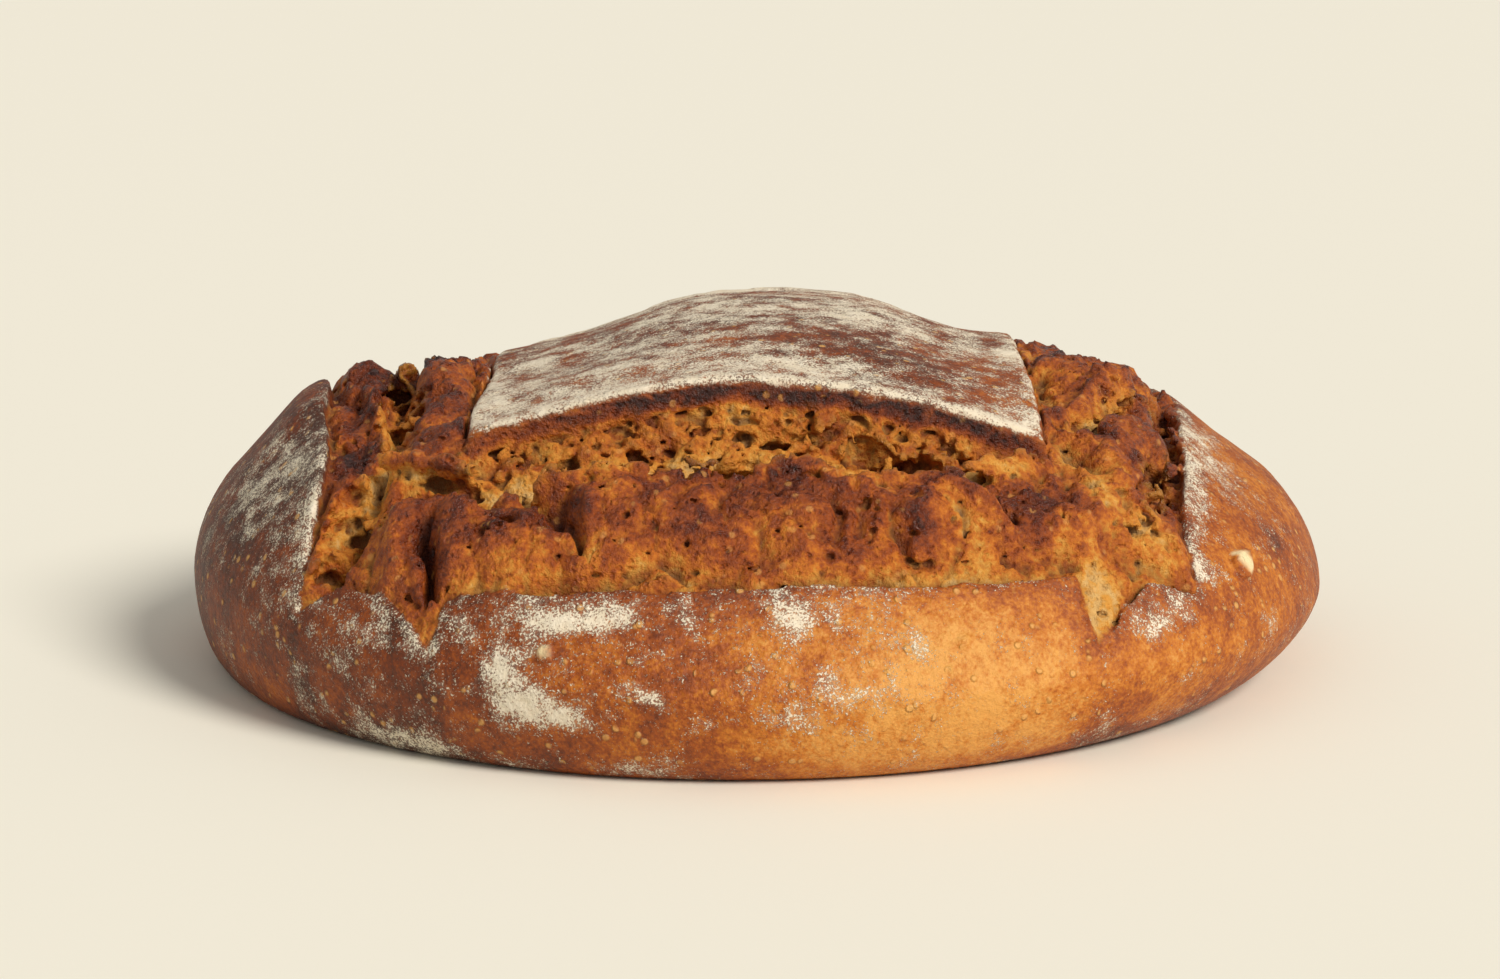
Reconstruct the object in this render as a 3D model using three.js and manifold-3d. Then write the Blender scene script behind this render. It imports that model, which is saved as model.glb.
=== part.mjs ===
// A round sourdough loaf, baked as one piece. Four straight slashes, two each way, crossed on top of the
// dough. In the oven they tore open into a frame of bare crumb around a square plate of floured skin.
// Millimetres, +Z up. The origin is on the table, under the middle of the loaf. -Y is the front.
import * as THREE from "three";
import { mergeVertices } from "three/addons/utils/BufferGeometryUtils.js";
import Module from "manifold-3d";

// Driving dimensions.
const HEIGHT = 78; // top of the dome
const RADIUS = 124; // of the belly line, where the loaf is widest
const SLASH_SHIFT = 1.6; // how far left of the loaf's middle the slashes are
const OVALITY = 1; // added to the radius left and right, taken off front and back
const FOOT_INSET = { least: 8.5, right: 10 }; // how far the base edge lies inside the belly line
const FOOT_START = 1.05; // above 1: the side has rolled in just before it reaches the table
const BELLY = { middle: 18.5, left: 1.5 }; // height of the belly line, and what the left end adds
const DOME_POWER = 2.1; // plan power of the dome: higher is flatter on top
const PROFILE_POWER = 1.35; // profile power of the dome: higher is steeper at the belly
const BLUNT = { left: 0.62, right: 0.4, from: 0.5, to: 0.8 }; // added to it at the ends, over these shares
const PLATE_HALF = 59; // half side of the square plate
const PLATE_BOW = 1.5; // how far each side of the plate bows out
const CRUST = 5; // thickness of the plate's lifted edge
const EAR_REACH = 15; // how far in from the plate's edge its lift fades
const LIP_REACH = 14; // the same on the flaps of skin
const GAPE = { from: 6, to: 26 }; // mm from the plate over which the gaping tear closes
const TUCK = { depth: 3, width: 3 }; // the dip of crumb under the flap's edge
const SWELL = { height: 2, from: 12, width: 8 }; // the crumb's roll just inside the flap

// Behind the front slash the loaf sags on both sides of its raised middle, over these mm from front to back.
const SAGS = [
  { x: -46, width: 22, depth: 5 },
  { x: 44, width: 15, depth: 2.6 },
  { x: -8, width: 32, depth: 1.8 },
];
const SAG_START = { from: -52, to: -10 };

// Each side of the torn frame, counter-clockwise from its first corner tip. "tip" is the point of skin left
// between two crossing slashes, "notch" the far end of the crossing slash, and "flapStart" to "flapEnd" the
// edge of the skin, which bows outwards. "mouth" is how deep the tear gapes at the plate, "ear" how far the
// plate's edge lifts, and "lip" how far the skin's edge lifts.
const SIDES = {
  front: {
    tip: [-73, -94], notch: [-66, -105], flapStart: [-63, -99],
    flapEnd: [69, -93], lastNotch: [72, -102], bow: 13.5, mouth: 16, ear: 4.5, lip: 1,
  },
  right: {
    tip: [80, -87], notch: [92, -77], flapStart: [89, -66],
    flapEnd: [86, 68], lastNotch: [88, 78], bow: 6, mouth: 4, ear: 1.5, lip: 1,
  },
  back: {
    tip: [76, 86], notch: [69, 98], flapStart: [64, 93],
    flapEnd: [-62, 94], lastNotch: [-66, 100], bow: 13, mouth: 10, ear: 4, lip: 2,
  },
  left: {
    tip: [-73, 88], notch: [-88, 79], flapStart: [-88, 70],
    flapEnd: [-89, -66], lastNotch: [-92, -77], bow: 6, mouth: 4, ear: 1.5, lip: 2.5,
  },
};
const SIDE_ORDER = ["front", "right", "back", "left"];

// Knobs and hollows of the torn crumb: middle, half lengths, turn in degrees, and height above the dome.
const CRUMB_FORMS = [
  { x: -72, y: -14, long: 24, wide: 7, turn: 90, height: 3.5 }, // dark knob beside the plate
  { x: -79, y: -30, long: 40, wide: 4.5, turn: 90, height: -7 }, // pale valley inside the left flap
  { x: -84, y: -67, long: 13, wide: 5, turn: 60, height: -6 }, // where the valley meets the left notch
  { x: -60, y: -73, long: 11, wide: 4.5, turn: -28, height: -16 }, // cave under the plate's corner
  { x: -73, y: -86, long: 9, wide: 5, turn: 45, height: 3 }, // block of crumb by the corner tip
  { x: -66, y: -93, long: 10, wide: 2.6, turn: 90, height: -8 }, // crack that runs into the front notch
  { x: -43, y: -91, long: 10, wide: 2.6, turn: -40, height: -5 }, // slanting tear in the front band
  { x: 20, y: -95, long: 42, wide: 6, turn: 4, height: 1.5 }, // swell of the front band
  { x: 87, y: -30, long: 34, wide: 4, turn: 90, height: -9 }, // deep trench inside the right flap
  { x: 76, y: -48, long: 24, wide: 6, turn: 82, height: 4 }, // swell beside the trench
  { x: 74, y: 20, long: 30, wide: 9, turn: 90, height: 3.5 }, // smooth swell behind it
  { x: 70, y: 74, long: 14, wide: 8, turn: -45, height: 3 }, // block by the back right corner
  { x: 0, y: 88, long: 48, wide: 8, turn: 0, height: 2.5 }, // swell of the back band
];

// Mesh: the top of a box with RINGS square rings, moved onto the loaf. Rings are counted from the middle.
const PLATE_RINGS = 9;
const LIP_RINGS = 3; // under the plate's edge: bottom of the crust, inner wall, foot of the wall
const CRUMB_SHARES = [0.14, 0.28, 0.42, 0.56, 0.7, 0.82, 0.92]; // of the way from plate to flap
const TEAR_RINGS = PLATE_RINGS + LIP_RINGS + CRUMB_SHARES.length + 1; // ring on the flap's edge
const RINGS = TEAR_RINGS + 6; // ring on the belly line
const SIDE_ROWS = 5;
const UNDERCUT = 4; // mm that the raw shape reaches below the table, before the base is cut flat

const lerp = THREE.MathUtils.lerp;
const smoothstep = THREE.MathUtils.smoothstep;
const bell = (distance, width) => Math.exp(-((distance / width) ** 2));

const bellyRadius = (angle) => RADIUS + OVALITY * Math.cos(2 * angle);
const bellyHeight = (angle) => BELLY.middle - BELLY.left * Math.cos(angle);

/** How steep the dome is towards the belly: the left and right ends are blunter. */
function profilePower(angle, reach) {
  const end = Math.cos(angle) < 0 ? BLUNT.left : BLUNT.right;
  return PROFILE_POWER + end * Math.abs(Math.cos(angle)) ** 1.5 * smoothstep(reach, BLUNT.from, BLUNT.to);
}

/** Height of the unslashed dough above a plan point, measured from the middle of the slashes. */
function domeHeight(x, y) {
  const angle = Math.atan2(y, x - SLASH_SHIFT);
  const reach = Math.min(1, Math.hypot(x - SLASH_SHIFT, y) / bellyRadius(angle));
  const belly = bellyHeight(angle);
  const dome = belly + (HEIGHT - belly) * (1 - reach ** DOME_POWER) ** (1 / profilePower(angle, reach));
  const sag = SAGS.reduce((sum, place) => sum + place.depth * bell(x - place.x, place.width), 0);
  const above = THREE.MathUtils.clamp((dome - belly) / 12, 0, 1);
  return dome - sag * above * smoothstep(y, SAG_START.from, SAG_START.to);
}

/** Sum of the knobs and hollows at a plan point. */
function crumbForms(x, y) {
  return CRUMB_FORMS.reduce((sum, form) => {
    const turn = THREE.MathUtils.degToRad(form.turn);
    const along = (x - form.x) * Math.cos(turn) + (y - form.y) * Math.sin(turn);
    const across = (y - form.y) * Math.cos(turn) - (x - form.x) * Math.sin(turn);
    return sum + form.height * bell(along, form.long) * bell(across, form.wide);
  }, 0);
}

/** Which side of the square a ring vertex is on, and how far along that side, from -1 to 1. */
function sideOf(s, t) {
  const ring = Math.max(Math.abs(s), Math.abs(t));
  if (ring === 0) return { name: "front", along: 0, ring };
  if (t === -ring) return { name: "front", along: s / ring, ring };
  if (s === ring) return { name: "right", along: t / ring, ring };
  if (t === ring) return { name: "back", along: -s / ring, ring };
  return { name: "left", along: -t / ring, ring };
}

/** Point on the plate's edge. */
function platePoint(name, along) {
  const out = PLATE_HALF + PLATE_BOW * (1 - along * along);
  const turn = (SIDE_ORDER.indexOf(name) * Math.PI) / 2;
  return new THREE.Vector2(along * PLATE_HALF, -out).rotateAround(new THREE.Vector2(), turn);
}

/** Point on the outer edge of the torn frame: tip, notch, flap, notch and the next side's tip. */
function tearPoint(name, along) {
  const side = SIDES[name];
  const next = SIDES[SIDE_ORDER[(SIDE_ORDER.indexOf(name) + 1) % 4]];
  const corners = [side.tip, side.notch, side.flapStart, side.flapEnd, side.lastNotch, next.tip];
  const places = [-1, -0.82, -0.66, 0.66, 0.82, 1];
  const at = Math.max(1, places.findIndex((place) => place >= along));
  const share = (along - places[at - 1]) / (places[at] - places[at - 1]);
  const from = new THREE.Vector2(...corners[at - 1]);
  const to = new THREE.Vector2(...corners[at]);
  const point = from.clone().lerp(to, share);
  if (at === 3) {
    const outwards = to.clone().sub(from).normalize().rotateAround(new THREE.Vector2(), -Math.PI / 2);
    point.addScaledVector(outwards, side.bow * (1 - (2 * share - 1) ** 2));
  }
  return point;
}

/** Point on the belly line. */
function bellyPoint(name, along) {
  const angle = ((SIDE_ORDER.indexOf(name) + 0.5 * along - 1) * Math.PI) / 2;
  const point = new THREE.Vector2(bellyRadius(angle), 0).rotateAround(new THREE.Vector2(), angle);
  return point.add(new THREE.Vector2(SLASH_SHIFT, 0));
}

/** The plate: floured skin on the dome, with its edges lifted into ears. */
function plateVertex(name, along, ring) {
  const plan = platePoint(name, along).multiplyScalar(ring / PLATE_RINGS);
  const fromEdge = PLATE_HALF * (1 - ring / PLATE_RINGS);
  const lift = SIDES[name].ear * (1 - along * along) * Math.exp(-fromEdge / EAR_REACH);
  return new THREE.Vector3(plan.x, plan.y, domeHeight(plan.x, plan.y) + lift);
}

/** The torn crumb at a plan point: gaping at the plate, swelling outside it, and tucked under the flap. */
function crumbHeight(name, along, plan, fromPlate, fromFlap) {
  const closed = smoothstep(fromPlate, GAPE.from, GAPE.to);
  const gape = SIDES[name].mouth * lerp(0.2, 1, 1 - along * along) * (1 - closed);
  const tuck = TUCK.depth * bell(fromFlap, TUCK.width);
  const swell = SWELL.height * bell(fromFlap - SWELL.from, SWELL.width);
  return domeHeight(plan.x, plan.y) - gape - tuck + swell + crumbForms(plan.x, plan.y);
}

/** The torn frame, from under the plate's edge to just inside the flap. */
function crumbVertex(name, along, ring) {
  const edge = plateVertex(name, along, PLATE_RINGS);
  const edgePlan = new THREE.Vector2(edge.x, edge.y);
  const flapPlan = tearPoint(name, along);
  const width = flapPlan.distanceTo(edgePlan);
  const row = ring - PLATE_RINGS - 1;
  const open = SIDES[name].mouth * lerp(0.3, 1, 1 - along * along);
  const wallPlan = [-0.3, -0.25 * open, 1]; // mm outwards from the plate's edge
  const share = row < LIP_RINGS ? wallPlan[row] / width : CRUMB_SHARES[row - LIP_RINGS];
  const plan = edgePlan.clone().lerp(flapPlan, share);
  const floor = crumbHeight(name, along, plan, share * width, (1 - share) * width);
  const crustFoot = edge.z - CRUST;
  const innerWall = Math.min(crustFoot - 1, lerp(crustFoot, floor, 0.6));
  const wall = [crustFoot, innerWall, Math.min(crustFoot - 2, floor)];
  return new THREE.Vector3(plan.x, plan.y, row < LIP_RINGS ? wall[row] : floor);
}

/** The outer skin, from the flap's lifted edge down to the belly line. */
function skinVertex(name, along, ring) {
  const share = Math.sin(((ring - TEAR_RINGS) / (RINGS - TEAR_RINGS)) * (Math.PI / 2));
  const flapPlan = tearPoint(name, along);
  const plan = flapPlan.clone().lerp(bellyPoint(name, along), share);
  const nearEdge = bell(plan.distanceTo(flapPlan), LIP_REACH) * (1 - share);
  const lift = SIDES[name].lip * (1 - along ** 4) * nearEdge;
  return new THREE.Vector3(plan.x, plan.y, domeHeight(plan.x, plan.y) + lift);
}

/** The side under the belly line, which rolls in to the base edge and then runs straight down. */
function sideVertex(name, along, drop) {
  const middle = new THREE.Vector2(SLASH_SHIFT, 0);
  const belly = bellyPoint(name, along).sub(middle);
  const height = bellyHeight(belly.angle());
  const rolled = Math.min(1, Math.sin(drop * (Math.PI / 2)) * FOOT_START);
  const foot = FOOT_INSET.least + FOOT_INSET.right * (0.5 + 0.5 * Math.cos(belly.angle())) ** 2.2;
  const inset = foot * (1 - Math.sqrt(1 - rolled ** 2));
  const plan = belly.setLength(belly.length() - inset).add(middle);
  return new THREE.Vector3(plan.x, plan.y, lerp(height, -UNDERCUT, drop));
}

/** Moves a vertex of the box onto the loaf. Its s and t run over the top, and w down the sides. */
function loafVertex(s, t, w) {
  const { name, along, ring } = sideOf(Math.round(s), Math.round(t));
  if (w <= 0) {
    const under = sideVertex(name, along, 1);
    return new THREE.Vector3((under.x * ring) / RINGS, (under.y * ring) / RINGS, under.z);
  }
  if (w < 1) return sideVertex(name, along, 1 - w);
  if (ring <= PLATE_RINGS) return plateVertex(name, along, ring);
  return ring < TEAR_RINGS ? crumbVertex(name, along, ring) : skinVertex(name, along, ring);
}

/** A geometry as a manifold-3d solid. */
function solidOf(wasm, geometry) {
  const bare = geometry.clone().deleteAttribute("normal").deleteAttribute("uv");
  const merged = mergeVertices(bare, 1e-3);
  const vertProperties = new Float32Array(merged.attributes.position.array);
  const triVerts = new Uint32Array(merged.index.array);
  return new wasm.Manifold(new wasm.Mesh({ numProp: 3, vertProperties, triVerts }));
}

/** A manifold-3d solid as a geometry. */
function geometryOf(solid) {
  const { vertProperties, triVerts } = solid.getMesh();
  const geometry = new THREE.BufferGeometry();
  geometry.setAttribute("position", new THREE.BufferAttribute(new Float32Array(vertProperties), 3));
  geometry.setIndex(new THREE.BufferAttribute(new Uint32Array(triVerts), 1));
  geometry.computeVertexNormals();
  return geometry;
}

/** The whole loaf: the moved box, cut flat where it stands on the table. */
function loafGeometry(wasm) {
  const raw = new THREE.BoxGeometry(2 * RINGS, 2 * RINGS, 1, 2 * RINGS, 2 * RINGS, SIDE_ROWS);
  raw.translate(0, 0, 0.5);
  const place = raw.attributes.position;
  for (let i = 0; i < place.count; i += 1) {
    const moved = loafVertex(place.getX(i), place.getY(i), place.getZ(i));
    place.setXYZ(i, moved.x - SLASH_SHIFT, moved.y, moved.z);
  }
  const above = new THREE.BoxGeometry(4 * RADIUS, 4 * RADIUS, 2 * HEIGHT).translate(0, 0, HEIGHT);
  return geometryOf(solidOf(wasm, raw).intersect(solidOf(wasm, above)));
}

const wasm = await Module();
wasm.setup();

const crust = new THREE.MeshStandardMaterial({ color: 0xa8612b, roughness: 0.75, metalness: 0 });
const loaf = new THREE.Mesh(loafGeometry(wasm), crust);
loaf.name = "loaf";

const group = new THREE.Group();
group.add(loaf);

export default group;
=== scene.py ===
# %% [markdown]
# # A sourdough loaf, sculpted as a distance field
# A round country loaf is one piece of dough, slashed four times across the top and baked hard. Where the
# slashes cross, a square of floured skin stays on top, and the oven tears the dough open all round it. A torn
# crumb has caves, overhangs and bubbles, which a height map or a subdivided box can't hold. So the dough is
# kept as a distance field on a grid: a number in every small cell that says how far the surface is. Adding to
# it swells the dough, and a bubble is cut with one maximum. The last step meshes it once.

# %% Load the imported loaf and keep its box
import math

import bpy
import numpy as np
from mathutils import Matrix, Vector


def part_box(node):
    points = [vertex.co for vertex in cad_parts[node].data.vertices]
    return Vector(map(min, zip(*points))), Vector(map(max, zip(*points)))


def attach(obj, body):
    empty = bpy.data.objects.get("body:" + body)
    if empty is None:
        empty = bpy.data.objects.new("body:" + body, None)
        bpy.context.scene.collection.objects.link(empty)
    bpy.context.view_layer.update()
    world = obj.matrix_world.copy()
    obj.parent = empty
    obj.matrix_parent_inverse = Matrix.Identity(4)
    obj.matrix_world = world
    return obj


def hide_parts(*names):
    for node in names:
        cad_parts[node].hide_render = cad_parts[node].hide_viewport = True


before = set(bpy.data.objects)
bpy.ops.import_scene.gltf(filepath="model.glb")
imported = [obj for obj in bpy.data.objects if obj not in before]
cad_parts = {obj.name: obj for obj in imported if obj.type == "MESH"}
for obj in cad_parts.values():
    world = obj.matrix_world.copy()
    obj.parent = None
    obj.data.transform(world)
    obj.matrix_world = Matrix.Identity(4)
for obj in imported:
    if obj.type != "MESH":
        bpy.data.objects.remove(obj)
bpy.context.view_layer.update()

import openvdb
from mathutils import Vector

low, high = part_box("loaf")
WIDTH = 250.0  # the loaf is drawn this many units wide, so a unit is its own millimetre
UNIT = (high.x - low.x) / WIDTH  # metres in one unit
MIDDLE = ((low.x + high.x) / 2, (low.y + high.y) / 2, low.z)
print("loaf is", [round(c / UNIT, 1) for c in (high - low)], "units, one unit is", UNIT, "m")

# %% [markdown]
# ## Camera
# A long lens from a low height shows a loaf as a baker sees it on the counter, with little perspective. It is
# aimed a little below the middle of the loaf's height, which leaves room above it.

# %% Camera
CAMERA_HEIGHT = math.radians(12.0)
CAMERA_DISTANCE = 930 * UNIT
AIM_HEIGHT = 34.9 * UNIT
SLASH_SHIFT = 1.6  # the slashes, and the camera with them, are this far left of the loaf's middle


def to_linear(hex_colour):
    """An sRGB hex colour as linear RGBA."""
    channels = [int(hex_colour[i:i + 2], 16) / 255 for i in (1, 3, 5)]
    return [c / 12.92 if c <= 0.04045 else ((c + 0.055) / 1.055) ** 2.4 for c in channels] + [1.0]


lens = bpy.data.cameras.new("camera")
lens.lens = 100  # mm
lens.clip_start = 0.01  # metres
camera = bpy.data.objects.new("camera", lens)
camera.location = (
    MIDDLE[0] - SLASH_SHIFT * UNIT,
    MIDDLE[1] - CAMERA_DISTANCE * math.cos(CAMERA_HEIGHT),
    MIDDLE[2] + AIM_HEIGHT + CAMERA_DISTANCE * math.sin(CAMERA_HEIGHT),
)
camera.rotation_euler = (math.pi / 2 - CAMERA_HEIGHT, 0, 0)
bpy.context.scene.collection.objects.link(camera)
bpy.context.scene.camera = camera
print("camera at", [round(c, 3) for c in camera.location])

# %% [markdown]
# ## Table and light
# The table is a wide board in pale paint. The camera looks down on it steeply enough that it fills the view and
# no horizon shows. One sun stands in for a big window, in front on the right. Its wide angle gives the shadow a
# soft edge, and the pale world fills the shadow in.

# %% Table, world and light
TABLE_COLOUR = "#F3F0E3"
TABLE_REACH = 8.0  # metres from the middle to each edge
TO_WINDOW = (1.0, -0.95, 1.1)
WINDOW_DISTANCE = 1500 * UNIT  # a sun shines the same from anywhere, so this only keeps it clear of the loaf
bpy.context.scene.view_settings.view_transform = "Standard"
world = bpy.data.worlds.new("studio")
bpy.context.scene.world = world
world.use_nodes = True
world.node_tree.nodes["Background"].inputs["Color"].default_value = to_linear("#FFFCF6")
world.node_tree.nodes["Background"].inputs["Strength"].default_value = 0.42

sunlight = bpy.data.lights.new("window", "SUN")
sunlight.energy = 2.95
sunlight.color = to_linear("#FFF9F0")[:3]
sunlight.angle = math.radians(24)
window = bpy.data.objects.new("window", sunlight)
window.location = Vector(MIDDLE) + Vector(TO_WINDOW).normalized() * WINDOW_DISTANCE
window.rotation_euler = Vector(TO_WINDOW).normalized().to_track_quat("Z", "Y").to_euler()
bpy.context.scene.collection.objects.link(window)

table_mesh = bpy.data.meshes.new("table")
table_corners = [(x * TABLE_REACH, y * TABLE_REACH, 0) for x, y in ((-1, -1), (1, -1), (1, 1), (-1, 1))]
table_mesh.from_pydata(table_corners, [], [(0, 1, 2, 3)])
table = bpy.data.objects.new("table", table_mesh)
table.location.z = MIDDLE[2]
bpy.context.scene.collection.objects.link(table)
painted_board = bpy.data.materials.new("painted board")
painted_board.use_nodes = True
painted_board.node_tree.nodes["Principled BSDF"].inputs["Base Color"].default_value = to_linear(TABLE_COLOUR)
painted_board.node_tree.nodes["Principled BSDF"].inputs["Roughness"].default_value = 0.75
table_mesh.materials.append(painted_board)
print("table is", 2 * TABLE_REACH, "m wide, lit by", window.name)

# %% [markdown]
# ## The grid
# The grid's cell decides what can be sculpted: a cell of 0.6 mm holds a bubble of 2 mm. Beside the grid stand
# the tools that every later step uses: a smooth step, the softened join of two fields, and smooth random
# values over the plan or through the grid.

# %% Grid
CELL = 0.6
MARGIN = 4.0
reach_x, reach_y, reach_z = [(high - low)[i] / UNIT * share + MARGIN for i, share in enumerate((0.5, 0.5, 1.0))]
xs = np.arange(-reach_x + SLASH_SHIFT, reach_x + SLASH_SHIFT, CELL, dtype=np.float32)
ys = np.arange(-reach_y, reach_y, CELL, dtype=np.float32)
zs = np.arange(-MARGIN, reach_z + MARGIN, CELL, dtype=np.float32)
PLAN_X, PLAN_Y = np.meshgrid(xs, ys, indexing="ij")
print("grid", len(xs), len(ys), len(zs))


def ease(start, end, value):
    """0 before start, 1 after end, smooth between."""
    share = np.clip((value - start) / (end - start), 0, 1)
    return share * share * (3 - 2 * share)


def soft_min(a, b, width):
    """The lower of two fields, with the crease between them rounded over width."""
    share = np.clip(0.5 + 0.5 * (b - a) / width, 0, 1)
    return b + (a - b) * share - width * share * (1 - share)


def soft_max(a, b, width):
    """The higher of two fields, rounded in the same way."""
    return -soft_min(-a, -b, width)


def stretch(values, axis, coordinate, spacing):
    """Reads random values along one axis at the coordinates, smoothly between the points of the lattice."""
    place = (coordinate - coordinate[0]) / spacing
    step = place.astype(int)
    share = (place - step).astype(np.float32)
    share = share * share * (3 - 2 * share)
    shape = [1] * values.ndim
    shape[axis] = -1
    share = share.reshape(shape)
    return np.take(values, step, axis) * (1 - share) + np.take(values, step + 1, axis) * share


def plan_noise(spacing, seed):
    """Smooth random values from -1 to 1 over the plan. Its lattice is turned, so no crease follows an axis."""
    random = np.random.default_rng(seed)
    turn = random.uniform(0.3, 1.2)
    values = random.uniform(-1, 1, (64, 64)).astype(np.float32)
    u = (PLAN_X * math.cos(turn) + PLAN_Y * math.sin(turn)) / spacing + 500
    v = (PLAN_Y * math.cos(turn) - PLAN_X * math.sin(turn)) / spacing + 500
    i, j = u.astype(int), v.astype(int)
    a, b = u - i, v - j
    a, b = a * a * (3 - 2 * a), b * b * (3 - 2 * b)
    i, j = i % 63, j % 63
    near_side = values[i, j] * (1 - a) + values[i + 1, j] * a
    far_side = values[i, j + 1] * (1 - a) + values[i + 1, j + 1] * a
    return near_side * (1 - b) + far_side * b


def solid_noise(spacing, seed, squeeze=(1, 1, 1)):
    """The same through the whole grid. squeeze lengthens its blobs along x, y and z."""
    random = np.random.default_rng(seed)
    steps = [spacing * s for s in squeeze]
    shape = [int(np.ptp(c) / s) + 3 for c, s in zip((xs, ys, zs), steps)]
    values = random.uniform(-1, 1, shape).astype(np.float32)
    for axis in (2, 1, 0):
        coordinate = (xs, ys, zs)[axis]
        values = stretch(values, axis, coordinate, steps[axis])
    return values


# %% [markdown]
# ## The plain dough
# Before slashing, a proved boule is a flattened dome that rolls in to a flat base. A superellipse gives the
# dome in one formula, and a quarter ellipse gives the roll under the belly line. Dividing each formula by its
# own slope turns it into a distance.

# %% Dough
DOME_TOP = (high.z - low.z) / UNIT - 0.1
RADIUS = 124.0
FOOT_INSET = 8.5  # how far the base lies inside the belly line
RIGHT_WEDGE = 10.0  # how much farther it does at the right end
PLAN_POWER = 2.1
BELLY_HEIGHT = 18.5
BELLY_TILT = 1.5  # the belly line is this much lower at the right end, and higher at the left
FRONT_POWER, LEFT_EXTRA, RIGHT_EXTRA = 1.35, 0.62, 0.4  # a higher power makes a blunter end


def belly_radius(angle):
    """The loaf's widest radius, which is a little longer from left to right than from front to back."""
    return RADIUS + np.cos(2 * angle)


def belly_height(angle):
    return BELLY_HEIGHT - BELLY_TILT * np.cos(angle)


def rise_power_of(angle, share):
    """How steep the dome is at its belly. The left and right ends are blunter than the front."""
    outer = ease(0.5, 0.8, share)
    left = np.clip(-np.cos(angle), 0, 1) ** 1.5
    right = np.clip(np.cos(angle), 0, 1) ** 1.5
    return FRONT_POWER + (LEFT_EXTRA * left + RIGHT_EXTRA * right) * outer


def dome_height(x, y):
    """Height of the unslashed dome over a plan point."""
    angle = np.arctan2(y, x - SLASH_SHIFT)
    share = np.clip(np.hypot(x - SLASH_SHIFT, y) / belly_radius(angle), 0, 1)
    rise_power = rise_power_of(angle, share)
    base = belly_height(angle)
    return base + (DOME_TOP - base) * (1 - share**PLAN_POWER) ** (1 / rise_power)


plan_angle = np.arctan2(PLAN_Y, PLAN_X - SLASH_SHIFT)
plan_reach = np.hypot(PLAN_X - SLASH_SHIFT, PLAN_Y)
edge_radius = belly_radius(plan_angle)
belly = belly_height(plan_angle)


def dough_field():
    """Distance from the unslashed dough, negative inside."""
    rise_power = rise_power_of(plan_angle, plan_reach / edge_radius)[:, :, None]
    outward = (plan_reach / edge_radius)[:, :, None]
    tall = (DOME_TOP - belly)[:, :, None]
    above = (zs[None, None, :] - belly[:, :, None]) / tall
    climb = np.clip(above, 0, None)
    slope_out = PLAN_POWER / edge_radius[:, :, None] * outward ** (PLAN_POWER - 1)
    slope_up = rise_power / tall * np.clip(climb, 1e-3, None) ** (rise_power - 1)
    dome = (outward**PLAN_POWER + climb**rise_power - 1) / np.sqrt(slope_out**2 + slope_up**2)
    # under the belly line the right end is cut away like a wedge, and the rest is round
    wedge = (0.5 + 0.5 * np.cos(plan_angle)) ** 2.2
    inset = (FOOT_INSET + RIGHT_WEDGE * wedge)[:, :, None]
    power = (2.0 - 0.5 * wedge)[:, :, None]
    past = np.clip((plan_reach - edge_radius)[:, :, None] + inset, 0, None) / inset
    drop = np.clip(-above * tall / belly[:, :, None], 0, None)
    side = np.where(past > 0, ((past**power + drop**power) ** (1 / power) - 1) * inset, -inset)
    return np.where(above >= 0, dome, side).astype(np.float32)


dough = dough_field()
print("dough field", dough.shape, "cells inside", int((dough < 0).sum()))

# %% [markdown]
# ## Drawing on the loaf
# A sculptor needs few tools. These work in plan, looking down on the loaf: the distance to a drawn line, the
# distance to the edge of a drawn outline, a stroke, which is a ridge or a groove along a line, and a ledge,
# which is a step in the ground.

# %% Lines and strokes


def line_distance(points, x=None, y=None):
    """Distance in plan from a line through the points."""
    x, y = (PLAN_X, PLAN_Y) if x is None else (x, y)
    nearest = np.full(x.shape, 1e6, np.float32)
    for (ax, ay), (bx, by) in zip(points, points[1:]):
        dx, dy = bx - ax, by - ay
        share = np.clip(((x - ax) * dx + (y - ay) * dy) / (dx * dx + dy * dy + 1e-9), 0, 1)
        nearest = np.minimum(nearest, np.hypot(x - ax - share * dx, y - ay - share * dy))
    return nearest


def outline_distance(points):
    """Distance in plan from a closed outline, negative inside."""
    closed = list(points) + [points[0]]
    inside = np.zeros(PLAN_X.shape, bool)
    for (ax, ay), (bx, by) in zip(closed, closed[1:]):
        crosses = (ay > PLAN_Y) != (by > PLAN_Y)
        with np.errstate(divide="ignore", invalid="ignore"):
            inside ^= crosses & (PLAN_X < ax + (PLAN_Y - ay) * (bx - ax) / ((by - ay) or 1e-9))
    return np.where(inside, -1, 1) * line_distance(closed)


WARPED_X = PLAN_X + 2.0 * plan_noise(13, 1) + 1.3 * plan_noise(5, 2) + 0.6 * plan_noise(2.4, 3)
WARPED_Y = PLAN_Y + 2.0 * plan_noise(13, 4) + 1.3 * plan_noise(5, 5) + 0.6 * plan_noise(2.4, 6)


def stroke(points, width, height, torn_edge=True):
    """A ridge, or a groove if height is negative, along a line in plan. A torn one wanders."""
    warped = (WARPED_X, WARPED_Y) if torn_edge else ()
    return height * np.exp(-((line_distance(points, *warped) / width) ** 2))


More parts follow.
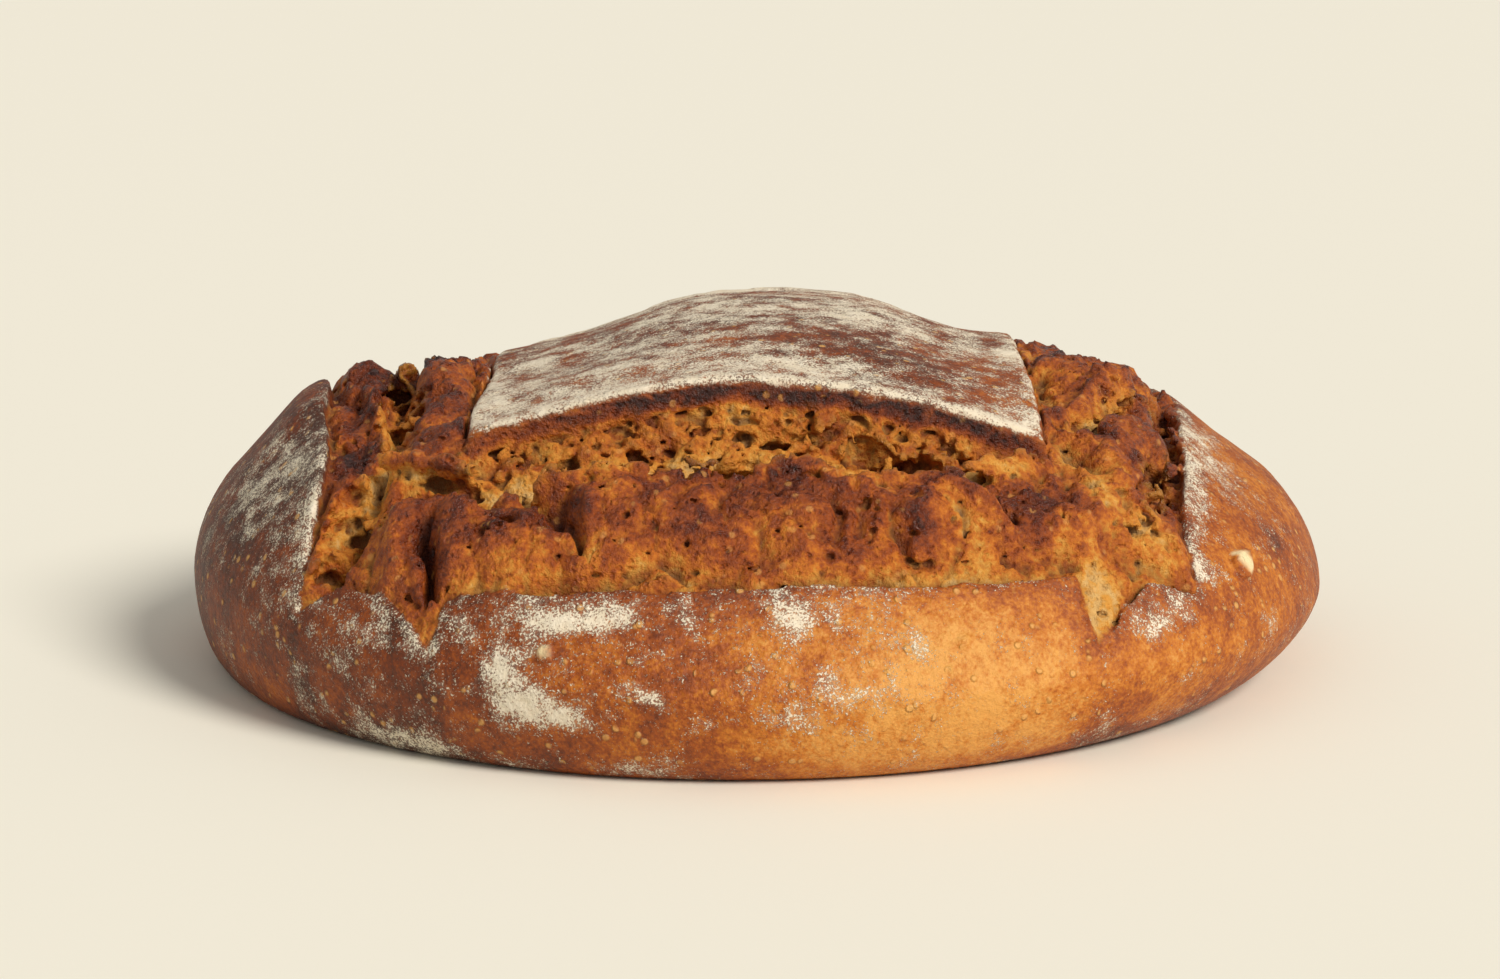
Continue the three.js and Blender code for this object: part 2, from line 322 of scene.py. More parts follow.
def ledge(start, end, height, reach):
    """A step along a line in plan. The ground to the left of the line's direction rises and fades out again."""
    way = np.array(end, float) - start
    length = np.hypot(*way)
    ahead = ((WARPED_X - start[0]) * way[0] + (WARPED_Y - start[1]) * way[1]) / length
    side = ((WARPED_Y - start[1]) * way[0] - (WARPED_X - start[0]) * way[1]) / length
    within = ease(-3, 1, ahead) * (1 - ease(length - 1, length + 3, ahead))
    return height * within * ease(-0.5, 0.5, side) * np.exp(-np.clip(side, 0, None) / reach)


print("a torn line wanders up to", round(float(np.abs(WARPED_X - PLAN_X).max()), 1), "mm")


# %% [markdown]
# ## Where the skin tore
# The plate is the square of skin between the slashes. The tear line is the edge of the skin round the torn
# crumb. Each corner of the frame has a notch, where one slash ran on past the other. Both outlines wander a
# little, because dough tears where it is weakest.

# %% Plate and tear
PLATE = [
    (-60, -60.5), (-35, -60), (0, -59.5), (35, -60.5), (63, -61.5), (61, -30), (60, 0), (60, 30), (61, 58),
    (30, 61), (0, 62), (-30, 61), (-58, 59), (-58, 30), (-57.5, 0), (-58, -30),
]
FRONT_FLAP = [
    (-61.5, -98.5), (-49, -102.5), (-35, -106.5), (-18, -109), (0, -109.6), (18, -108), (35, -104.5), (50, -99.5),
    (66, -92),
]
RIGHT_FLAP = [(89.5, -64), (91, -54), (93, -40), (93.5, -25), (94.5, -10), (95, 10), (93, 35), (88, 62)]
BACK_FLAP = [(66, 94), (45, 101), (20, 105), (-10, 106), (-35, 103), (-62, 95)]
LEFT_FLAP = [(-88, 66), (-94, 40), (-96, 20), (-93, 0), (-91.5, -20), (-90, -40), (-89, -58), (-91.5, -73)]
NOTCHES = {
    "front right": [(69.7, -100.5), (81, -84.5), (92.5, -78)],
    "back right": [(90, 74), (76, 84), (70, 102)],
    "back left": [(-67, 101), (-73, 86), (-90, 76)],
    "front left": [(-92.5, -78), (-82, -83.5), (-73, -92), (-63.7, -103)],
}
TEAR = (
    FRONT_FLAP + NOTCHES["front right"] + RIGHT_FLAP + NOTCHES["back right"] + BACK_FLAP
    + NOTCHES["back left"] + LEFT_FLAP + NOTCHES["front left"]
)
wander = 0.7 * plan_noise(16, 11) + 0.25 * plan_noise(5, 12) + 0.08 * plan_noise(2, 13)
from_plate = outline_distance(PLATE) + wander
into_tear = wander - outline_distance(TEAR)
torn = np.minimum(from_plate, into_tear)  # positive on the torn crumb
print("torn crumb covers", round(100 * float((torn > 0).sum() / (plan_reach < RADIUS).sum())), "% of the plan")

# %% [markdown]
# ## How the tear gaped
# In front and behind, the plate lifted its edge like an ear and the tear under it gapes. The mouth is an
# outline with a floor: it falls from under the plate's crust and climbs to the rim of crumb outside it. From
# here on the steps draw one map, of how far the dough's surface rose, in millimetres.

# %% Ear and mouth
MOUTH = [
    (-61, -60), (-57, -79), (-45, -82), (-30, -82), (-10, -82.5), (10, -82), (27, -80.5), (41, -77), (53, -69),
    (62, -61), (35, -59.5), (0, -58), (-35, -59),
]
BACK_MOUTH = [(58, 60), (50, 70), (20, 78), (-20, 79), (-48, 72), (-57, 60), (-20, 60.5), (20, 60.5)]
along_x = np.clip(np.abs(PLAN_X) / 62, 0, 1)
FRONT = ease(-6, 6, -PLAN_Y - np.abs(PLAN_X))
BACK = ease(-6, 6, PLAN_Y - np.abs(PLAN_X))


def ear_lift(height, side):
    """The lift of the plate's edge on one side, fading inwards."""
    return height * side * (1 - along_x**2) * np.exp(-np.abs(from_plate) / 15)


plate_lift = ear_lift(3.9, FRONT) + ear_lift(4.5, BACK) + 0.8 * np.exp(-((from_plate / 7) ** 2))
CRUST = 5.4  # thickness of the plate's edge
MOUTH_FLOOR = 8.0  # how far below the dome the tear gapes
MOUTH_REACH = 15  # how far out from the plate it does


def gape(mouth):
    """Depth of a gaping tear: it falls from under the plate's crust and climbs to the outer rim."""
    from_rim = 0.8 - outline_distance(mouth) + 0.9 * plan_noise(7, 21) + 0.8 * plan_noise(3, 22)
    top = CRUST - 0.8 - plate_lift
    fall = top + (MOUTH_FLOOR - top) * np.clip(from_plate / MOUTH_REACH, 0, 1.3)
    return np.clip(soft_min(fall, 1.3 * from_rim, 2.0), 0, None)


gaping = gape(MOUTH) + gape(BACK_MOUTH)
print("the mouth is up to", round(float((gaping * FRONT).max()), 1), "mm deep")

# %% [markdown]
# ## Ridges and grooves of the tear
# A rim of crumb runs along the mouth, and a well-baked band swells below it. On the right the skin curled over
# a deep trench. On the left the skin turned up, with a baked wall inside it, then a pale valley and a dark knob
# of crumb. Each is one stroke: its line, its width, and the height of its middle. Broad noise and creases go
# under them, because no part of a tear is smooth.

# %% Torn crumb
crumb_rise = 0.9 * plan_noise(14, 31) + 0.9 * plan_noise(7, 32) + 0.35 * plan_noise(3.5, 35)
for spacing, depth, seed in ((12, 1.2, 33), (6, 0.8, 34)):
    twisted = plan_noise(spacing, seed) + 0.45 * plan_noise(spacing / 2.3, seed + 5)
    crumb_rise -= depth * np.exp(-((twisted / 0.12) ** 2))  # creases where the noise is 0
crumb_rise -= gaping
CRUMB_STROKES = [  # line, width, height
    # front band
    ([(-56, -92), (-30, -96), (0, -98), (30, -95), (56, -86)], 9, 2.2),
    ([(-48, -82), (-35, -84), (-10, -84.5), (15, -84), (40, -79.5), (56, -68)], 2.6, 1.8),
    ([(-44, -103), (-30, -104), (-15, -106), (-4, -106)], 1.7, -2.4),
    ([(22, -103.5), (38, -99.5)], 1.6, -2.0),
    ([(50, -95), (64, -88.5)], 1.9, -2.2),
    ([(-47, -81), (-41, -87), (-35.5, -93), (-33.5, -97)], 1.3, -4.5),
    ([(-54, -86), (-46, -91), (-40, -96)], 4.5, 1.2),
    ([(37, -89), (46, -88)], 4.4, 3.2),
    ([(34, -86.5), (40, -82.5), (48, -83.5), (51, -87)], 1.2, -2.8),
    ([(27, -97), (29.5, -99)], 2.2, -2.6),
    ([(-45, -104), (-36, -103), (-22, -106)], 1.4, -2.0),
    ([(14, -88), (18, -89)], 4.0, 2.2),
    ([(-30, -92), (-20, -94)], 5.0, 1.8),
    ([(-6, -92), (0, -95)], 1.6, -1.6),
    ([(62, -82), (70, -80)], 3.6, 1.8),
    ([(26, -97), (36, -98)], 3.0, 1.4),
    ([(-14, -100), (-2, -101)], 3.0, 1.2),
    ([(22, -90), (30, -92)], 5, 1.8),
    ([(14, -93), (17, -98)], 1.3, -2.2),
    ([(20, -90), (20, -96)], 1.2, -2.0),
    ([(33, -91.5), (35, -94)], 3.0, 2.0),
    ([(5, -96), (12, -95)], 4, 1.6),
    ([(-20, -90), (-8, -92)], 6, 1.4),
    # front left corner
    ([(-72, -80), (-72, -90)], 3.4, 3.0),
    ([(-61, -84), (-60, -94)], 3.2, 1.8),
    ([(-66.5, -84), (-65.5, -91), (-64, -98)], 1.1, -7.5),
    ([(-79, -70), (-84, -76)], 4.2, -6.5),
    ([(-69, -71), (-60, -77), (-53, -81)], 2.6, -8),
    # left
    ([(-86, -8), (-84.5, -20), (-83, -35), (-84, -52)], 4.6, -3.2),
    ([(-88, 45), (-87, 6)], 6, 4.4),
    ([(-88, -4), (-81.5, -15), (-77.5, -38), (-76, -54), (-82, -63), (-89.5, -74)], 1.7, 3.4),
    ([(-75.5, 30), (-76, -5), (-75, -30), (-75, -52), (-78, -64)], 3.2, -6.5),
    ([(-69, 0), (-68, -20)], 4.5, 1.6),
    ([(-66, -30), (-66.5, -44)], 3.6, 1.2),
    ([(-71, -22), (-64, -27)], 1.3, -2.4),
    ([(-70, -44), (-63, -41)], 1.2, -2.0),
    ([(-74.5, 3), (-73.5, -6)], 3.6, 3.4),
    ([(-64, 30), (-64, 8), (-63, -12)], 6, 1.6),
    ([(-60.2, 45), (-59.5, 0), (-60, -45)], 1.4, -3.2),
    # right
    ([(89.5, 10), (89.5, -10), (88.5, -30), (87.5, -45), (87, -56)], 1.9, -5.5),
    ([(90, 50), (90.5, 10)], 2.2, -3),
    ([(82, -2), (80, -28), (79, -48), (78, -62)], 6, 2.6),
    ([(65, -42), (74, -28), (82, -14), (89, -4)], 1.8, 2.6),
    ([(68, -48), (75, -36), (83, -22)], 2.2, -3.4),
    ([(72, 30), (72, 5), (72, -12)], 8, 2.2),
    ([(63.5, 40), (63, 0), (64, -35)], 1.4, -1.6),
    ([(66, -56), (72, -62)], 3.2, -2.6),
    ([(70, -76), (84, -74)], 5, 1.6),
    # front right notch
    ([(71.5, -88), (71, -95)], 3.5, -0.8),
    ([(81.5, -86), (75, -96)], 0.9, -2.2),
    ([(72, -82), (78, -82), (86, -79)], 1.6, -2.2),
    # back
    ([(-55, 90), (-20, 95), (20, 95), (55, 88)], 9, 2.0),
    ([(-50, 76), (-15, 82), (20, 81), (50, 74)], 2.6, 1.6),
    ([(67, 78), (68, 88), (68.5, 97)], 1.8, -6),
    ([(-68, 80), (-67, 92)], 1.8, -6),
    ([(74, 72), (82, 78)], 4, 2),
    ([(-76, 70), (-83, 76)], 4, 2),
]
for line, width, height in CRUMB_STROKES:
    crumb_rise += stroke(line, width, height)
crumb_rise += ledge((-33, -96.5), (-47, -80.5), -2.0, 9) + ledge((-47, -80.5), (-33, -96.5), 2.2, 10)
crumb_rise += ledge((56, -86), (44, -82.5), -1.6, 6)
print(len(CRUMB_STROKES), "strokes in the crumb")

# %% [markdown]
# ## The skin and the sag
# The skin is smooth, but a hand-shaped loaf is never even, and its flaps curl up along the tear. Behind the
# front slash the loaf sags on both sides of its raised middle. At the end crumb and skin become one map, with a
# narrow step from one to the other where the skin ends.

# %% Skin and sag
skin_rise = 0.5 * plan_noise(32, 41) + 0.22 * plan_noise(13, 42) + 0.1 * plan_noise(4, 43)
skin_rise += stroke([(104, 30), (105, 0), (103, -30)], 10, -2.0, False)
skin_rise += stroke([(-99, 40), (-100, 10), (-98, -20)], 7, 2.6, False)
skin_rise += stroke(LEFT_FLAP[1:-1], 6, 1.6, False)
skin_rise += stroke(FRONT_FLAP, 6, 0.8, False) + stroke(BACK_FLAP, 7, 1.2, False)
behind = ease(-52, -10, PLAN_Y)
sag = 4.8 * np.exp(-(((PLAN_X + 44) / 21) ** 2)) + 2.6 * np.exp(-(((PLAN_X - 44) / 15) ** 2))
sag += 2.2 * np.exp(-(((PLAN_X + 8) / 34) ** 4)) + 1.8 * np.exp(-(((PLAN_X + 58) / 8) ** 2))
sag += 6.0 * ease(60, 66, -PLAN_X) * ease(0, 30, PLAN_Y)
sag += 2.0 * ease(62, 67, PLAN_X) * (1 - ease(80, 87, PLAN_X)) * ease(-10, 20, PLAN_Y)
sag -= 1.4 * np.exp(-(((PLAN_X - 4) / 28) ** 2))
sway = -sag * behind
crumb_rise -= 1.3 * np.exp(-((into_tear / 2.5) ** 2))

TEAR_STEP = 0.6  # how sharply the skin ends
inside = ease(-TEAR_STEP, TEAR_STEP, torn)
on_plate = from_plate < 0
body_rise = sway + crumb_rise * inside + skin_rise * (1 - inside)
plate_rise = plate_lift + skin_rise + sway
body_rise = np.where(on_plate, plate_rise - (CRUST - 0.8) * ease(-14, -9, from_plate), body_rise)
print("rise from", round(float(body_rise.min()), 1), "to", round(float(body_rise.max()), 1), "mm")

# %% [markdown]
# ## From map to field
# The map moves the dough's surface along its own normal, because subtracting from a distance does that. Along
# its edge the plate has been lowered by the thickness of its crust. The crust goes back on later, as a slab.

# %% Body
FADE_HEIGHT = 12.0  # the map fades out over this height above the belly line
height_over_belly = zs[None, None, :] - belly[:, :, None]
climb = np.clip(height_over_belly / FADE_HEIGHT, 0, 1)
above_belly = ease(1, 5, height_over_belly).astype(np.float32)
field = dough - body_rise[:, :, None] * climb
print("field from", round(float(field.min()), 1), "to", round(float(field.max()), 1), "mm")

# %% [markdown]
# ## Caves and knobs
# What the map can't do is cut under the surface. A tunnel is dug, and a knob is piled, along a line in space.
# Both are balls drawn along the line and joined to the field, so they touch only the part of the grid near
# them.

# %% Tunnels and knobs


def surface_height(x, y):
    """Height of the surface as it is now over a plan point."""
    column = field[int((x - xs[0]) / CELL), int((y - ys[0]) / CELL)]
    inside_cells = np.nonzero(column < 0)[0]
    return float(zs[inside_cells[-1]]) if len(inside_cells) else 0.0


def near(point, reach):
    """The part of the grid within reach of a point, as slices and as coordinates."""
    slices = []
    for value, axis in zip(point, (xs, ys, zs)):
        first = int(np.clip((value - reach - axis[0]) / CELL, 0, len(axis)))
        last = int(np.clip((value + reach - axis[0]) / CELL + 1, 0, len(axis)))
        slices.append(slice(first, last))
    grid = np.meshgrid(xs[slices[0]], ys[slices[1]], zs[slices[2]], indexing="ij", sparse=True)
    return tuple(slices), grid


def along(points, radius):
    """Regions and distances along a line in space, step by step."""
    for start, end in zip(points, points[1:]):
        start, end = np.array(start, float), np.array(end, float)
        centre = (start + end) / 2
        region, (gx, gy, gz) = near(centre, np.linalg.norm(end - start) / 2 + radius + 4)
        way = end - start
        share = ((gx - start[0]) * way[0] + (gy - start[1]) * way[1] + (gz - start[2]) * way[2]) / (way @ way)
        share = np.clip(share, 0, 1)
        away = np.sqrt(
            (gx - start[0] - share * way[0]) ** 2
            + (gy - start[1] - share * way[1]) ** 2
            + (gz - start[2] - share * way[2]) ** 2
        )
        yield region, away


def dig(points, radius, blend=1.0):
    """Cuts a tunnel. Each point is x, y and how far its middle lies below the plain dome."""
    spots = [(x, y, float(dome_height(x, y)) - depth) for x, y, depth in points]
    for region, away in along(spots, radius):
        field[region] = soft_max(field[region], radius - away, blend)


def pile(points, radius, blend=2.0):
    """Adds a knob. Each point is x, y and how far its middle lies above the plain dome."""
    spots = [(x, y, float(dome_height(x, y)) + lift) for x, y, lift in points]
    for region, away in along(spots, radius):
        field[region] = soft_min(field[region], away - radius, blend)


pile([(-76, 3, -2.0), (-75, -4, -0.8)], 2.6)
pile([(-70, -8, -2), (-68, -16, -2)], 3.0, 3)
pile([(-76, -60, 0.4), (-69, -65, 1.4)], 1.8, 2.5)
pile([(-68, -66, 0.6), (-62, -70, 1.4), (-56, -73, -0.4)], 1.2, 2.5)
dig([(-66, -73.5, -0.6), (-60, -78, -0.8), (-54.5, -81.5, -0.6)], 2.3, 0.5)
dig([(-66, -70, 1.5), (-60, -73.5, 2.2), (-54, -78, 2.2)], 2.5, 1.2)
dig([(-65, -67, 4.5), (-59.5, -70, 5), (-54, -74, 5)], 2.3, 1.2)
dig([(-46, -83, 1.5), (-40, -89.5, 1.2), (-36, -94, 0.8)], 1.3, 0.4)
dig([(90, -48, 3.5), (90.5, -35, 4), (91, -20, 3.5)], 1.5)
dig([(86.5, -50, 2), (86, -55, 3)], 2.0)
dig([(-41, -72, 7), (-31, -71, 7)], 3.0)
dig([(-24, -67.5, 5.5), (-17, -67.5, 5.5)], 2.6)
dig([(-9, -72, 7.5), (3, -73, 7.5)], 2.2)
dig([(3, -66, 4.2), (7, -66, 4.2)], 2.8)
dig([(11, -71, 6.5), (16, -72, 6.5)], 2.4)
dig([(22, -72.5, 6), (30, -73, 6), (35, -72, 6.5)], 3.0)
dig([(38, -74, 5.5), (49, -71, 5.5)], 2.0)
dig([(44, -67, 4.2), (50, -65.5, 4)], 2.2)
dig([(51.5, -95.5, 0.5), (55.5, -94.5, 0.8)], 1.4)
dig([(60, -93.5, 0.5), (62.5, -92, 0.5)], 1.1)
dig([(76, -81.5, 0.6), (86, -79.5, 0.6)], 1.3)
dig([(63.5, -28, 1.5), (64, -34, 2)], 2.2)
print("cells inside after digging", int((field < 0).sum()))

# %% [markdown]
# ## Bubbles
# Bubbles are flattened balls cut out of the torn crumb, in the sizes that a long-proved dough has: many small
# ones and a few large, more of them in the gaping mouth and the valleys, fewer in the baked band.

# %% Bubbles
bubble_random = np.random.default_rng(7)


def blow_bubbles(count, where, radius, flat=0.62, sink=0.25, turned=math.pi, drawn=1.5, edge=0.5):
    """Cuts bubbles at random places where the plan mask allows, with radii between the two given.

    turned is how far they may lie from the left-right line, and drawn how long the longest are for their width.
    """
    allowed = np.argwhere(where)
    picks = allowed[bubble_random.integers(0, len(allowed), count)]
    for ix, iy in picks:
        size = radius[0] + (radius[1] - radius[0]) * bubble_random.random() ** 2.2
        x, y = xs[ix], ys[iy]
        z = surface_height(x, y) - size * flat * bubble_random.uniform(-0.3, 0.3 + sink)
        turn = bubble_random.uniform(-turned, turned) / 2
        long = size * bubble_random.uniform(1.0, drawn)
        region, (gx, gy, gz) = near((x, y, z), long + 2)
        u = ((gx - x) * math.cos(turn) + (gy - y) * math.sin(turn)) / long
        v = ((gy - y) * math.cos(turn) - (gx - x) * math.sin(turn)) / size
        w = (gz - z) / (size * flat)
        ball = (np.sqrt(u * u + v * v + w * w) - 1) * size * flat
        field[region] = soft_max(field[region], -ball, edge)
    return count


mouth_depth = -np.minimum(outline_distance(MOUTH), outline_distance(BACK_MOUTH))
in_mouth = (mouth_depth > -1.5) & (from_plate > 0.3)
in_notch = stroke([(72, -86), (71.5, -94)], 4.5, 1) > 0.3
open_crumb = (torn > 1.5) & ~in_mouth & ~in_notch
valley = (stroke([(-75.5, 30), (-75, -30), (-75, -52), (-80, -70), (-84, -76)], 4, 1) > 0.4) & (torn > 1)
valley |= (stroke([(68, -48), (75, -36), (83, -22)], 3.5, 1) > 0.4) & (torn > 1)
valley |= (stroke([(89, -5), (88, -45), (80, -76)], 2.4, 1) > 0.4) & (torn > 0.8)
bubbles = blow_bubbles(48, in_mouth & (np.abs(PLAN_X) < 42), (2.2, 5.6), sink=0.5, turned=0.9, drawn=2.1, edge=0.9)
bubbles += blow_bubbles(150, in_mouth, (1.1, 2.6), sink=0.4, turned=1.2, drawn=1.8, edge=0.6)
bubbles += blow_bubbles(1300, in_mouth, (0.5, 1.1))
bubbles += blow_bubbles(46, valley, (2.2, 4.2), edge=0.8)
bubbles += blow_bubbles(80, valley, (1.0, 2.0), edge=0.6)
bubbles += blow_bubbles(400, valley, (0.5, 1.1))
corner = (stroke([(-78, -62), (-84, -71), (-86, -77)], 4, 1) > 0.35) & (torn > 0.8)
bubbles += blow_bubbles(30, corner, (1.4, 3.4), sink=0.4, edge=0.5)
bubbles += blow_bubbles(30, in_notch, (0.4, 0.9))
bubbles += blow_bubbles(30, open_crumb, (1.0, 2.2), sink=-0.1)
bubbles += blow_bubbles(1000, open_crumb, (0.5, 0.9), sink=-0.15)
print(bubbles, "bubbles")

# %% [markdown]
# ## Raggedness
# Torn crumb is rough at every scale, the baked skin only at a fine one. Noise added to the field moves the
# surface in and out, and it is stronger where the crumb is torn.

# %% Roughness
rough = ease(0.2, 2.0, torn)
mouth_rough = ease(-3, 2, mouth_depth) * rough
LAYERS = [  # size, seed, squeeze, strength in the torn crumb, extra in the mouth, on the skin
    (5.0, 51, (1, 1, 1), 0.35, 0.1, 0.0),
    (2.4, 52, (1, 1, 1), 0.42, 0.15, 0.03),
    (1.3, 53, (0.8, 1.6, 1.4), 0.3, 0.15, 0.0),
    (0.8, 54, (1, 1, 1), 0.34, 0.15, 0.05),
]
for size, seed, squeeze, everywhere, in_gape, on_skin in LAYERS:
    strength = (everywhere * rough + in_gape * mouth_rough)[:, :, None] * above_belly + on_skin
    field += solid_noise(max(size, 1.3 * CELL), seed, squeeze) * strength
print(len(LAYERS), "layers of roughness")

# %% [markdown]
# ## The plate's crust
# The plate's skin goes back on last, as a slab as thick as a crust, so that no bubble breaks its edge. In front
# and behind it sticks out a little over the mouth, as an ear does.

# %% Plate
OVERHANG = 1.8
slab_edge = from_plate - OVERHANG * (FRONT + BACK) * (1 - along_x**4)  # 0 on the slab's edge
lifted = dough - (plate_rise + 0.12 * plan_noise(3, 44))[:, :, None]
ragged = 0.5 * solid_noise(2.6, 55) + 0.25 * solid_noise(1.2, 56)
slab = soft_max(lifted, -(lifted + CRUST + ragged), 1.2)
slab = soft_max(slab, slab_edge[:, :, None] + 0.35 * ragged + 0.18 * (lifted + CRUST), 1.6)
field = soft_min(field, slab, 0.7)
del slab, ragged, lifted
np.maximum(field, -zs[None, None, :], out=field)  # nothing goes below the table
print("cells inside", int((field < 0).sum()))

# %% [markdown]
# ## Flakes of grain
# The basket was dusted with meal, and one flake of oat and a few chips of bran baked into the skin. Each is a
# rounded block, sunk into the skin and cut off a little above it.

# %% Flakes
FLAKES = [  # place, size
    ((102.4, -62, 32), 2.9), ((-103, -64, 34), 1.3), ((-40.5, -113, 26), 1.4), ((42, -110, 27), 1.6),
    ((20, -113, 29), 1.2), ((-96, -37, 47), 1.2), ((30, -24, 75), 1.3), ((-90, -74, 34), 1.2),
    ((60, -103, 17), 1.2),
]
for (x, y, z), size in FLAKES:
    region, (gx, gy, gz) = near((x, y, z), size + 2)
    tilt = 0.3 * (gx - x)
    lump = ((gx - x) ** 4 + ((gy - y) * 0.8) ** 4 + (gz - z - tilt) ** 4) ** 0.25
    field[region] = soft_min(field[region], np.maximum(lump - size, field[region] - 0.55 * size), 0.25)
print(len(FLAKES), "flakes")

# %% [markdown]
# ## Meshing
# OpenVDB turns the field into a mesh in one call. Roughness leaves specks that float free, and some bubbles are
# closed inside the crumb where nobody sees them, so only the biggest island is kept. Its evenly spread faces
# are then thinned where the crust is smooth.

# %% Mesh
FACE_LIMIT = 190_000
grid = openvdb.FloatGrid()
grid.copyFromArray(np.ascontiguousarray(np.clip(field / CELL, -3, 3)))
points, triangles, quads = grid.convertToPolygons(isovalue=0.0, adaptivity=0.0)
points = points * CELL + np.array([xs[0], ys[0], zs[0]])
print(len(points), "points", len(triangles), "triangles", len(quads), "quads")


def biggest_piece(points, triangles, quads):
    """Drops every island but the biggest. Each point takes the lowest number among those it is joined to."""
    links = np.concatenate([triangles[:, :2], triangles[:, 1:], quads[:, :2], quads[:, 1:3], quads[:, 2:]])
    number, before = np.arange(len(points)), None
    while not np.array_equal(number, before):
        before = number.copy()
        ends = number[links]
        for i in range(2):
            np.minimum.at(number, ends[:, i], ends.min(axis=1))
        number = number[number[number]]
    kept = number == np.bincount(number).argmax()
    print("dropped", int((~kept).sum()), "points on", len(np.unique(number)) - 1, "islands")
    new_number = np.cumsum(kept) - 1
    return points[kept], new_number[triangles[kept[triangles[:, 0]]]], new_number[quads[kept[quads[:, 0]]]]


points, triangles, quads = biggest_piece(points, triangles, quads)


def make_mesh(name, points, triangles, quads):
    """A mesh straight from arrays, which is far quicker than one face at a time."""
    mesh = bpy.data.meshes.new(name)
    mesh.vertices.add(len(points))
    mesh.vertices.foreach_set("co", points.astype(np.float32).ravel())
    corners = np.concatenate([triangles.ravel(), quads.ravel()]).astype(np.int32)
    sizes = np.concatenate([np.full(len(triangles), 3), np.full(len(quads), 4)])
    starts = np.concatenate([[0], np.cumsum(sizes)[:-1]]).astype(np.int32)
    mesh.loops.add(len(corners))
    mesh.loops.foreach_set("vertex_index", corners)
    mesh.polygons.add(len(sizes))
    mesh.polygons.foreach_set("loop_start", starts)
    mesh.update(calc_edges=True)
    mesh.validate()
    return mesh


loaf = bpy.data.objects.new("sourdough_loaf", make_mesh("sourdough_loaf", points, triangles, quads))
bpy.context.scene.collection.objects.link(loaf)
thin = loaf.modifiers.new("thin", "DECIMATE")
thin.ratio = min(1.0, FACE_LIMIT / (len(triangles) + 2 * len(quads)))
evaluated = bpy.data.meshes.new_from_object(loaf.evaluated_get(bpy.context.evaluated_depsgraph_get()))
loaf.modifiers.clear()
loaf.data = evaluated
print("mesh has", len(loaf.data.polygons), "faces")

# %% [markdown]
# ## Reading the loaf back
# The look of a crust depends on where it is: proud spots are dark and glossy, hollows stay pale, and flour lies
# where the basket touched. The grid knows all of that, so each vertex reads it from there and keeps it as named
# values for the material.

# %% Vertex readings
vertex_count = len(loaf.data.vertices)
places = np.empty(vertex_count * 3, np.float32)
loaf.data.vertices.foreach_get("co", places)
places = places.reshape(-1, 3)
VX, VY, VZ = places.T


def read(values):
    """Reads a plan map, or a map of the whole grid, at each vertex."""
    axes = [(xs, VX), (ys, VY), (zs, VZ)][:values.ndim]
    first, share = [], []
    for axis, coordinate in axes:
        place = np.clip((coordinate - axis[0]) / CELL, 0, len(axis) - 1.001)
        first.append(place.astype(int))
        share.append(place - place.astype(int))
    total = np.zeros(vertex_count, np.float32)
    for corner in range(2 ** len(axes)):
        picks, weight = [], np.ones(vertex_count, np.float32)
        for i in range(len(axes)):
            bit = (corner >> i) & 1
            picks.append(first[i] + bit)
            weight = weight * (share[i] if bit else 1 - share[i])
        total += weight * values[tuple(picks)]
    return total


def blurred(values, radius):
    """A box blur of the whole grid."""
    steps = max(1, int(round(radius / CELL)))
    for axis in range(3):
        summed = np.cumsum(values, axis=axis, dtype=np.float32)
        ahead = np.take(summed, np.minimum(np.arange(values.shape[axis]) + steps, values.shape[axis] - 1), axis)
        behind = np.take(summed, np.maximum(np.arange(values.shape[axis]) - steps - 1, 0), axis)
        values = (ahead - behind) / (2 * steps + 1)
    return values


solid = (field < 0).astype(np.float32)
snug = read(blurred(solid, 1.2)) - 0.5  # above 0 in a pit, below 0 on a rim
sheltered = read(blurred(solid, 4.0)) - 0.5
below_skin = -read(dough) + read(np.where(slab_edge < 2.5, plate_lift, 0) + sway + skin_rise)
v_from_plate, v_into_tear, v_mouth = read(from_plate), read(into_tear), read(mouth_depth)
del solid
print("snug", snug.min(), snug.max(), "sheltered", sheltered.min(), sheltered.max())


def vertex_noise(spacing, seed, squeeze=(1, 1, 1)):
    return read(solid_noise(spacing, seed, squeeze))


# %% [markdown]
# ## Skin, crumb and ear
# A vertex is skin if it lies on the plate's slab or outside the tear, and close to the surface that the dough
# had before anything was cut. Everything below the belly is skin too, and the rest is crumb. The ear is the cut
# edge of the plate's crust, in front and behind, which bakes darkest.

# %% Skin and ear
v_slab_edge = read(slab_edge)
top_skin = (1 - ease(-0.3, 0.4, v_slab_edge)) * (1 - ease(0.5, 1.3, below_skin))
outer_skin = (v_into_tear < 0.4) * (1 - ease(1.2, 2.5, below_skin))
outer_skin = np.maximum(outer_skin, 1 - ease(1, 4, VZ - read(belly)))
skin = np.clip(np.maximum(top_skin, outer_skin), 0, 1)
at_edge = ease(-3.5, -1.8, v_slab_edge) * (1 - ease(1.2, 2.2, v_slab_edge)) * read(0.3 + 0.7 * (FRONT + BACK))
depth = below_skin + 0.8 * vertex_noise(5, 64)
ear = at_edge * ease(0.3, 0.9, depth) * (1 - ease(2.6, 6.4, depth)) * (1 - skin)
ear *= 1 - 0.3 * ease(20, 55, -VX)  # it is a little paler on the left
print("skin covers", round(100 * float(skin.mean())), "% of the vertices")

